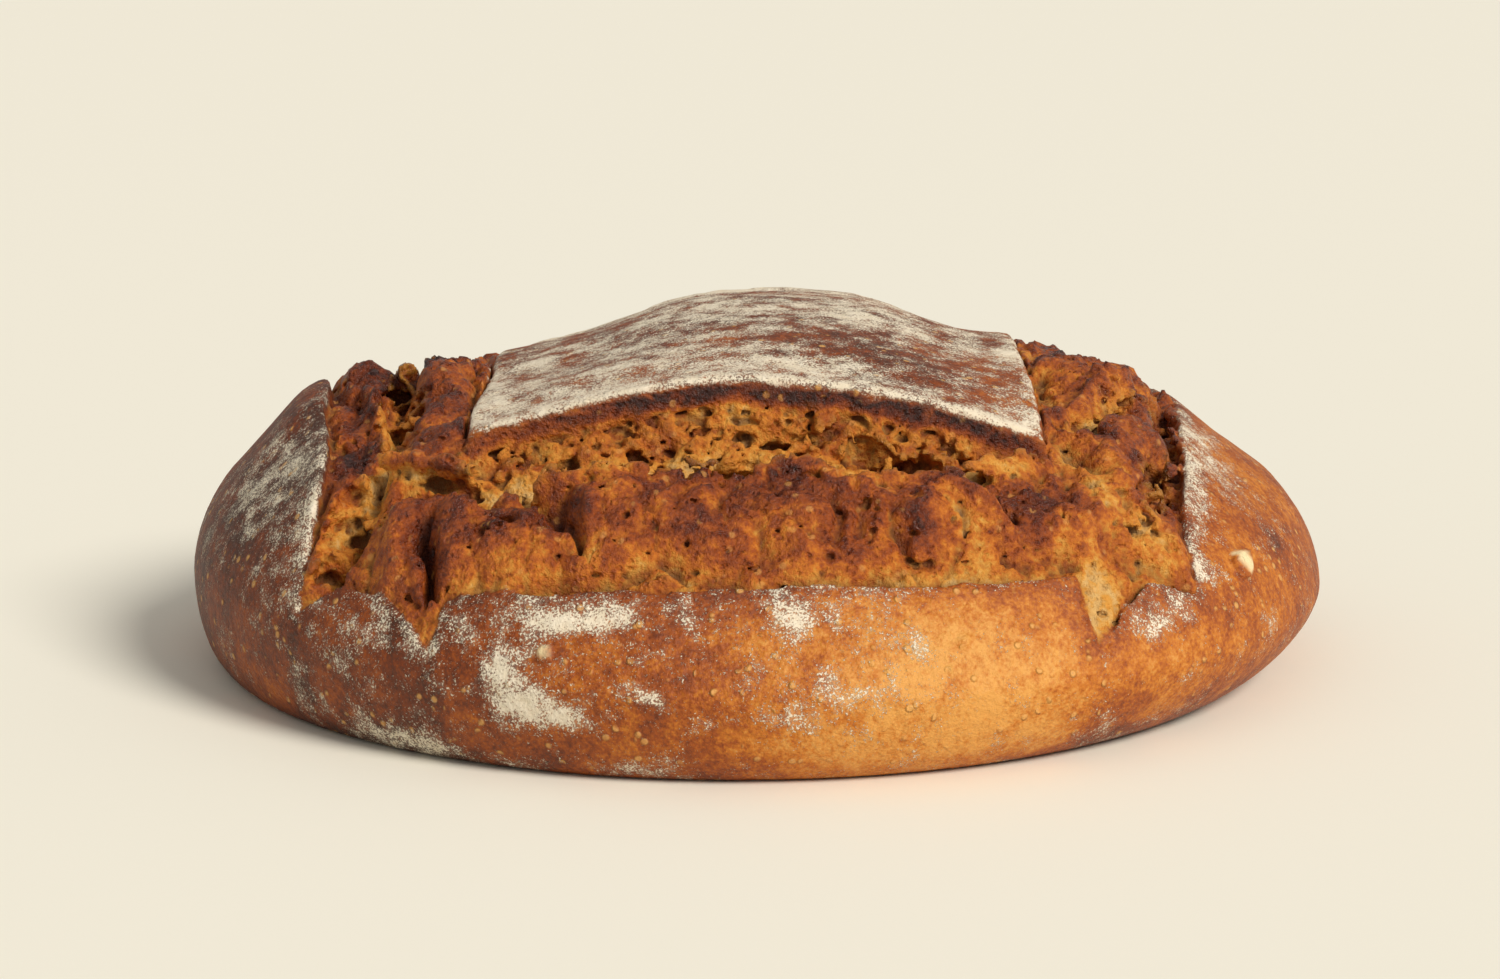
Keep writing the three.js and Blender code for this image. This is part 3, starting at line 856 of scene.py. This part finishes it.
# %% [markdown]
# ## How dark the crumb baked
# The oven darkens what stands proud and dry, and leaves what is sheltered or steamy pale. Strokes mark the
# ridges that baked hard and the valleys that didn't, just as strokes shaped them. One stroke is painted shadow
# instead, in the trench under the bridge on the front left, and the mouth stays darker close under the ear,
# partly as painted shade of the ear's overhang.

# %% Bake
BAKE_AND_SHADOW_STROKES = [  # line, width, amount of baking
    ([(-86, 10), (-84.5, -15), (-84, -35), (-86, -58)], 5.0, 0.24),
    ([(34, -86.5), (40, -82.5), (48, -83.5), (51, -87)], 1.5, 0.35),
    ([(-66.5, -84), (-65.5, -91), (-64, -98)], 1.6, 0.3),
    # painted shadow, not baking: this darkens the shallow trench under the bridge so it looks like a deep hole
    ([(-67, -71.5), (-60, -76.5), (-54, -80)], 2.0, 0.4),
    ([(-76, -60), (-67, -66.5), (-57, -73)], 1.8, -0.16),
    ([(-67, 10), (-67, -20), (-66, -54)], 7, 0.16),
    ([(-75, 4), (-73, -6)], 5, 0.36),
    ([(-88, 0), (-81.5, -15), (-77.5, -38), (-76, -54), (-82, -63), (-89.5, -74)], 1.8, -0.14),
    ([(-75.5, 30), (-76, -5), (-75, -30), (-75, -52), (-80, -68), (-85, -76)], 3.5, -0.18),
    ([(-56, -90), (-30, -93), (0, -94), (30, -92), (56, -84)], 7, 0.12),
    ([(-24, -88), (-8, -89), (8, -88)], 4, 0.16),
    ([(36, -84), (46, -83), (56, -78), (66, -74)], 3.5, 0.2),
    ([(-58, -90), (-52, -88)], 6, 0.12),
    ([(-55, -81), (-35, -84), (-10, -84.5), (15, -84), (40, -79.5), (56, -68)], 2.4, -0.22),
    ([(-60, -104), (-30, -107), (0, -109), (30, -106), (60, -96)], 3.5, -0.2),
    ([(89.5, 30), (90, -20), (87, -56)], 4.0, 0.2),
    ([(80, -20), (79, -48)], 6, 0.16),
    ([(70, -4), (74, 20)], 9, 0.18),
    ([(68, -48), (75, -36), (83, -22)], 3.0, -0.4),
    ([(64, -58), (72, -70), (80, -76)], 5, -0.18),
    ([(71.5, -89), (71, -98)], 3.8, -0.4),
    ([(38, -90), (47, -88)], 4.5, -0.16),
    ([(62, -84), (74, -82)], 4, -0.1),
    ([(-30, -92), (-20, -94)], 4.5, -0.1),
]
bake_and_shadow_map = np.zeros(PLAN_X.shape, np.float32)
for line, width, amount in BAKE_AND_SHADOW_STROKES:
    bake_and_shadow_map += stroke(line, width, amount)
# painted shade, in part: the mouth is paler deep down, where steam kept it, and darker close under the ear's
# overhang
mouth_pale_and_ear_shade = ease(0, 3, v_mouth) * (0.08 + 0.32 * ease(5, 11, v_from_plate))
bake_and_shade = 0.5 + read(bake_and_shadow_map) - mouth_pale_and_ear_shade - 0.5 * sheltered - 0.3 * snug
bake_and_shade += 0.16 * vertex_noise(9, 61) + 0.12 * vertex_noise(4, 62)
bake_and_shade = np.clip(np.maximum(bake_and_shade, 0.98 * ear), 0, 1)
print("bake from", bake_and_shade.min(), "to", bake_and_shade.max())

# %% [markdown]
# ## How brown the skin is
# The skin browns from amber to a dark red-brown, in broad soft patches: darker on top, low down, and on the
# flaps along the tear. Each patch is a place, with a reach and an amount.

# %% Tan
TAN_SPOTS = [  # amber to dark: place, reach and amount of browning on the skin
    ((42, -115, 21), 32, -0.2), ((34, -115, 6), 36, -0.27), ((-103, -47, 42), 40, 0.22),
    ((-96, -14, 56), 26, 0.2), ((101, -45, 43), 22, -0.1), ((115, -40, 26), 24, -0.06),
    ((-117, -36, 17), 34, 0.2), ((-70, -100, 12), 24, 0.12), ((0, 0, 78), 60, 0.26), ((-8, -116, 22), 16, 0.1),
    ((32, -38, 71), 22, 0.2), ((0, 118, 20), 60, 0.05), ((-30, -118, 12), 26, 0.08), ((90, -85, 12), 20, -0.08),
    ((104, -62, 28), 16, -0.1), ((112, -43, 33), 5, 0.35),
]
tan = 0.43 + 0.1 * vertex_noise(26, 71) + 0.08 * vertex_noise(11, 72) + 0.12 * (1 - ease(1, 7, VZ))
for place, reach, amount in TAN_SPOTS:
    tan += amount * np.exp(-((np.linalg.norm(places - np.array(place), axis=1) / reach) ** 2))
near_flap = np.exp(-((np.clip(-v_into_tear, 0, None) / 3.5) ** 2)) * (v_from_plate > 0)
tan = np.clip(tan + 0.18 * near_flap, 0, 1)
print("tan from", tan.min(), "to", tan.max())

# %% [markdown]
# ## Where the flour lies
# Rye flour from the basket stuck to the skin in patches, most of all on the plate and along the flaps. On the
# plate the rings of the basket's cane left stripes. Each patch is a place, with its reach along x, y and z.

# %% Flour
FLOUR_SPOTS = [  # place, reach along x, y and z, and amount of flour
    ((-49, -112, 22), (5, 6, 4), 0.8), ((-45, -114, 16), (8, 7, 4), 0.85), ((-37, -116, 14), (6, 6, 3), 0.5),
    ((-38, -110, 32), (17, 5, 3.6), 0.85), ((-60, -104, 27), (9, 6, 6), 0.3), ((8, -113, 33), (4, 5, 4), 0.85),
    ((2, -113, 33), (24, 6, 5), 0.28), ((-21, -120, 20), (7, 6, 3.5), 0.4), ((10, -122, 18), (14, 6, 8), 0.34),
    ((32, -113, 29), (5, 4, 7), 0.4), ((-79, -93, 24), (10, 7, 6), 0.5), ((-82, -91, 14), (12, 9, 6), 0.1),
    ((-93, -57, 46), (7, 26, 9), 0.5), ((-99, -67, 32), (12, 16, 12), 0.3), ((-102, -36, 47), (10, 22, 12), 0.42),
    ((-112, -30, 38), (12, 26, 14), 0.22), ((-70, -97, 4), (16, 10, 3), 0.5), ((-22, -116, 3), (6, 8, 2.5), 0.6),
    ((94, -50, 46), (3.5, 24, 8), 0.55), ((98, -24, 51), (7, 22, 8), 0.45), ((93, -72, 35), (3, 4, 3), 0.5),
    ((87, -83, 30), (8, 6, 6), 0.3), ((83, -89, 26), (7, 6, 6), 0.34), ((103, -42, 43), (7, 14, 8), 0.2),
    ((112, -43, 33), (4, 8, 4), 0.35), ((71, -97, 6), (20, 10, 5), 0.12), ((112, -60, 20), (8, 8, 6), 0.2),
    ((-40, 112, 24), (40, 14, 12), 0.4), ((50, 108, 26), (30, 14, 12), 0.4), ((112, 40, 30), (14, 40, 14), 0.3),
    ((-112, 50, 30), (14, 34, 14), 0.35),
]
flour = 0.05 + 0.10 * vertex_noise(18, 81) + 0.12 * vertex_noise(6, 82)
for place, reach, amount in FLOUR_SPOTS:
    offset = (places - np.array(place)) / np.array(reach)
    flour += amount * np.exp(-(offset**2).sum(1))
flour += 0.2 * np.exp(-((np.clip(-v_into_tear - 0.6, 0, None) / 1.6) ** 2)) * (v_from_plate > 0)
RING_GAP = 11.5  # the basket's cane is this thick
warp = 3.0 * vertex_noise(22, 83) + 1.0 * vertex_noise(8, 84)
ring = np.cos((np.hypot(VX, VY * 1.02) + warp - 8) / RING_GAP * 2 * math.pi)
plate_flour = 0.68 + 0.24 * vertex_noise(14, 85, squeeze=(2.4, 0.7, 1)) + 0.2 * vertex_noise(5, 86, (2.0, 0.8, 1))
plate_flour -= 0.24 * ease(0.3, 0.95, ring) * ease(-52, -30, VY)
plate_flour -= 0.34 * np.exp(-(((VX - 34) / 22) ** 2) - ((VY + 34) / 11) ** 2)
plate_flour -= 0.2 * np.exp(-(((VX + 30) / 16) ** 2) - ((VY + 10) / 14) ** 2)
plate_flour += 0.16 * np.exp(-((v_from_plate / 3) ** 2))
flour = np.where(top_skin > 0.5, plate_flour, flour)
flour = np.clip(flour, 0, 1) * skin

flake = np.zeros(vertex_count, np.float32)
for place, size in FLAKES:
    flake = np.maximum(flake, ease(size + 0.5, size - 0.2, np.linalg.norm(places - np.array(place), axis=1)))
print("flour covers", round(100 * float((flour > 0.5).mean())), "% of the vertices")

# %% [markdown]
# ## Values on the mesh
# A material can read a number that is stored on each vertex, as an attribute. Pits and rims go with the rest: in
# a pit the material paints shade onto the sheltered crumb, and a rim is the thin pale edge of a bubble that tore
# open.

# %% Store


def store(name, values):
    """Keeps one value per vertex under a name."""
    attribute = loaf.data.attributes.new(name, "FLOAT", "POINT")
    attribute.data.foreach_set("value", np.ascontiguousarray(values, np.float32))
    print(name, "from", round(float(values.min()), 2), "to", round(float(values.max()), 2))


store("skin", skin)
store("bake_and_shade", bake_and_shade)
store("tan", tan)
store("flour", flour)
store("flake", flake)
# painted shade: the more sheltered the crumb, the darker the material makes it, as if light fell short there
store("pit_shade", np.clip(sheltered * 3 + snug * 2, 0, 1) * (1 - 0.7 * read(1.0 * in_notch)))
torn_open = np.clip(ease(-3, 1, v_mouth) + read(1.0 * valley) + ease(-0.05, -0.3, read(bake_and_shadow_map)), 0, 1)
store("rim", np.clip(-snug * 3.5, 0, 1) * torn_open * (1 - ear))

# %% [markdown]
# ## The crust
# Bread crust is dried, browned starch and protein with an IOR near 1.5. The skin that faced the basket is matt
# and carries rye flour. The torn crumb is a dull golden sponge where it was sheltered, and a glossy red-brown
# where it stood proud and the steam set it.

# %% Material
crust = bpy.data.materials.new("baked sourdough crust")
crust.use_nodes = True
tree = crust.node_tree
shader = tree.nodes["Principled BSDF"]


def add(kind, inputs, output=0, stops=None, **settings):
    """Adds a node and gives back one of its outputs.

    inputs maps a socket to a value or to the output that feeds it, and stops are the colours of a ramp. A Mix node
    has its sockets by number: 0 is the share, 2 and 3 are numbers, 6 and 7 are colours, and output 2 is a colour.
    """
    made = tree.nodes.new("ShaderNode" + kind)
    for name, value in settings.items():
        setattr(made, name, value)
    for key, value in inputs.items():
        if isinstance(value, bpy.types.NodeSocket):
            tree.links.new(value, made.inputs[key])
        else:
            made.inputs[key].default_value = value
    if stops:
        elements = made.color_ramp.elements
        while len(elements) < len(stops):
            elements.new(0.5)
        for element, (position, colour) in zip(elements, stops):
            element.position = position
            element.color = to_linear(colour)
    return made.outputs[output]


spot = add("TexCoord", {}, "Object")
stored = {
    name: add("Attribute", {}, "Fac", attribute_name=name)
    for name in ("skin", "bake_and_shade", "tan", "flour", "flake", "pit_shade", "rim")
}
NOISES = {  # name: size of its blobs in units, detail, roughness
    "speck": (1.2, 3, 0.6), "mottle": (3.5, 3, 0.5), "fleck": (0.8, 2, 0.6), "cloud": (8, 4, 0.55),
    "blotch": (2.6, 3, 0.6), "clump": (5.5, 6, 0.7), "grit": (0.45, 3, 0.65), "flour tone": (2.2, 2, 0.5),
    "fuzz": (0.6, 3, 0.65), "pucker": (2.2, 2, 0.5), "blister pick": (4.0, 1, 0.5),
}
noise = {
    name: add("TexNoise", {"Vector": spot, "Scale": 1 / (size * UNIT), "Detail": detail, "Roughness": roughness})
    for name, (size, detail, roughness) in NOISES.items()
}
print(len(noise), "noises and", len(stored), "stored values")

# %% [markdown]
# ## The crumb's colour
# One ramp runs from pale crumb, which never dried, through gold to the near-black of burnt sugar. The stored
# bake moves along it, and fine noises scatter it. Pores and blisters come from two cell patterns: a cell's
# middle is the hole or the bump, and the walls between are the ground. A pore's hole is drawn a little darker,
# and the crumb in pits darker still: both are painted shade.

# %% Crumb
PORE_GAP, BLISTER_GAP = 1.7, 3.4  # millimetres from one pore or blister to the next
BEND_SIZE, BEND = 1.6, 1.1  # a noise of this size bends the pores this far, so they aren't round
bent = add("VectorMath", {
    0: add("TexNoise", {"Vector": spot, "Scale": 1 / (BEND_SIZE * UNIT), "Detail": 2.0}, "Color"),
    1: (BEND * UNIT, BEND * UNIT, BEND * UNIT), 2: spot,
}, operation="MULTIPLY_ADD")
pore_cells = add("TexVoronoi", {"Vector": bent, "Scale": 1 / (PORE_GAP * UNIT), "Randomness": 1.0})
pore = add("MapRange", {"Value": pore_cells, "From Min": 0.42, "From Max": 0.1}, interpolation_type="SMOOTHSTEP")
blister_cells = add("TexVoronoi", {"Vector": spot, "Scale": 1 / (BLISTER_GAP * UNIT), "Randomness": 1.0})
blister = add(
    "MapRange", {"Value": blister_cells, "From Min": 0.3, "From Max": 0.16}, interpolation_type="SMOOTHSTEP"
)
picked = add("MapRange", {"Value": noise["blister pick"], "From Min": 0.5, "From Max": 0.6})
blister = add("Math", {0: blister, 1: picked}, operation="MULTIPLY")
scatter = add("Math", {0: noise["speck"], 1: 0.6, 2: stored["bake_and_shade"]}, operation="MULTIPLY_ADD")
scatter = add("Math", {0: noise["mottle"], 1: 0.6, 2: scatter}, operation="MULTIPLY_ADD")
# painted shade: each pore's hole is pushed a little darker, as shade inside it
scatter = add("Math", {0: pore, 1: 0.08, 2: scatter}, operation="MULTIPLY_ADD")
crumb_bake_and_shade = add("Math", {0: scatter, 1: 0.64}, operation="SUBTRACT")
crumb_colour = add("ValToRGB", {0: crumb_bake_and_shade}, stops=[
    (0.0, "#DBB06C"), (0.2, "#D6963A"), (0.38, "#C36C14"), (0.54, "#9C480A"), (0.74, "#682706"), (0.96, "#32130C"),
])
# painted shade: crumb in pits and sheltered hollows is multiplied darker, where shade would fall
crumb_colour = add("Mix", {
    0: add("Math", {0: stored["pit_shade"], 1: 0.85}, operation="MULTIPLY"), 6: crumb_colour, 7: to_linear("#623C14"),
}, 2, data_type="RGBA", blend_type="MULTIPLY")
crumb_colour = add("Mix", {
    0: add("Math", {0: stored["rim"], 1: 0.5}, operation="MULTIPLY"), 6: crumb_colour, 7: to_linear("#DE9A36"),
}, 2, data_type="RGBA")
crumb_colour = add("Mix", {
    0: add("Math", {0: blister, 1: 0.5}, operation="MULTIPLY"), 6: crumb_colour, 7: to_linear("#DD9C50"),
}, 2, data_type="RGBA")
print("crumb has", len(tree.nodes), "nodes so far")

# %% [markdown]
# ## The skin's colour
# The skin browns unevenly: amber in front, red-brown low down and on top. Gas bubbles under it leave pale
# blisters of a millimetre or two. Rye flour stays where the basket pressed it on, thick in patches and as
# single grains between them, so a thin veil lies under a hard-edged speckle.

# %% Skin and flour
browning = add("Math", {0: noise["cloud"], 1: 0.5, 2: stored["tan"]}, operation="MULTIPLY_ADD")
browning = add("Math", {0: noise["blotch"], 1: 0.6, 2: browning}, operation="MULTIPLY_ADD")
browning = add("Math", {0: noise["fleck"], 1: 0.6, 2: browning}, operation="MULTIPLY_ADD")
browning = add("Math", {0: browning, 1: 0.82}, operation="SUBTRACT")
skin_colour = add("ValToRGB", {0: browning}, stops=[
    (0.02, "#DA9A48"), (0.28, "#C06F16"), (0.48, "#9B4A06"), (0.68, "#743104"), (0.9, "#48210C"),
])
skin_colour = add("Mix", {
    0: add("Math", {0: blister, 1: 0.75}, operation="MULTIPLY"), 6: skin_colour, 7: to_linear("#DFA65A"),
}, 2, data_type="RGBA")

level = add("Math", {0: noise["clump"], 1: 2.2, 2: stored["flour"]}, operation="MULTIPLY_ADD")
level = add("Math", {0: level, 1: 1.1}, operation="SUBTRACT")
veil = add("MapRange", {"Value": level, "From Min": 0.28, "From Max": 1.1, "To Max": 0.34})
level = add("Math", {0: noise["grit"], 1: 2.8, 2: level}, operation="MULTIPLY_ADD")
grains = add("MapRange", {"Value": level, "From Min": 1.85, "From Max": 2.15}, interpolation_type="SMOOTHSTEP")
dust = add("Math", {0: veil, 1: add("Math", {0: grains, 1: 0.9}, operation="MULTIPLY")}, operation="MAXIMUM")
flour_colour = add("Mix", {
    0: noise["flour tone"], 6: to_linear("#E0D1B2"), 7: to_linear("#FBF3E0"),
}, 2, data_type="RGBA")
skin_colour = add("Mix", {0: dust, 6: skin_colour, 7: flour_colour}, 2, data_type="RGBA")
skin_colour = add("Mix", {0: stored["flake"], 6: skin_colour, 7: to_linear("#EBD6A6")}, 2, data_type="RGBA")
colour = add("Mix", {0: stored["skin"], 6: crumb_colour, 7: skin_colour}, 2, data_type="RGBA")
tree.links.new(colour, shader.inputs["Base Color"])
print("with the skin,", len(tree.nodes))

# %% [markdown]
# ## Sheen and grain
# Proud, well-baked crumb is half glossy from gelled starch, the rest is matt, and flour is the mattest. Under
# the geometry's own roughness, a bump gives the last half millimetre: fuzz, pores, puckered skin and grains of
# flour.

# %% Roughness and relief
crumb_matt = add("MapRange", {
    "Value": crumb_bake_and_shade, "From Min": 0.3, "From Max": 0.8, "To Min": 0.66, "To Max": 0.24,
})
skin_matt = add("MapRange", {"Value": dust, "From Max": 0.9, "To Min": 0.55, "To Max": 0.95})
matt = add("Mix", {0: stored["skin"], 2: crumb_matt, 3: skin_matt}, 0, data_type="FLOAT")
tree.links.new(matt, shader.inputs["Roughness"])
shader.inputs["IOR"].default_value = 1.5
shader.inputs["Specular IOR Level"].default_value = 0.42

pore_relief = add("Math", {0: pore, 1: -0.55}, operation="MULTIPLY")
crumb_relief = add("Math", {0: noise["fuzz"], 1: 1.2, 2: pore_relief}, operation="MULTIPLY_ADD")
skin_relief = add("Math", {0: noise["fuzz"], 1: 0.5, 2: noise["pucker"]}, operation="MULTIPLY_ADD")
skin_relief = add("Math", {0: blister, 1: 0.7, 2: skin_relief}, operation="MULTIPLY_ADD")
skin_relief = add("Math", {0: dust, 1: 0.35, 2: skin_relief}, operation="MULTIPLY_ADD")
relief = add("Mix", {0: stored["skin"], 2: crumb_relief, 3: skin_relief}, 0, data_type="FLOAT")
bumped = add("Bump", {"Height": relief, "Strength": 0.85, "Distance": 0.75 * UNIT})
tree.links.new(bumped, shader.inputs["Normal"])
print("material has", len(tree.nodes), "nodes")

# %% [markdown]
# ## Placing the loaf
# The mesh was made in the loaf's own millimetres, so it is scaled to metres and moved to the frame's middle
# once.

# %% Place and finish
loaf.data.polygons.foreach_set("use_smooth", [True] * len(loaf.data.polygons))
placed = (places - np.array([SLASH_SHIFT, 0, 0])) * UNIT + np.array(MIDDLE)
loaf.data.vertices.foreach_set("co", placed.astype(np.float32).ravel())
loaf.data.update()
loaf.data.materials.clear()
loaf.data.materials.append(crust)
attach(loaf, "root")
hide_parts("loaf")
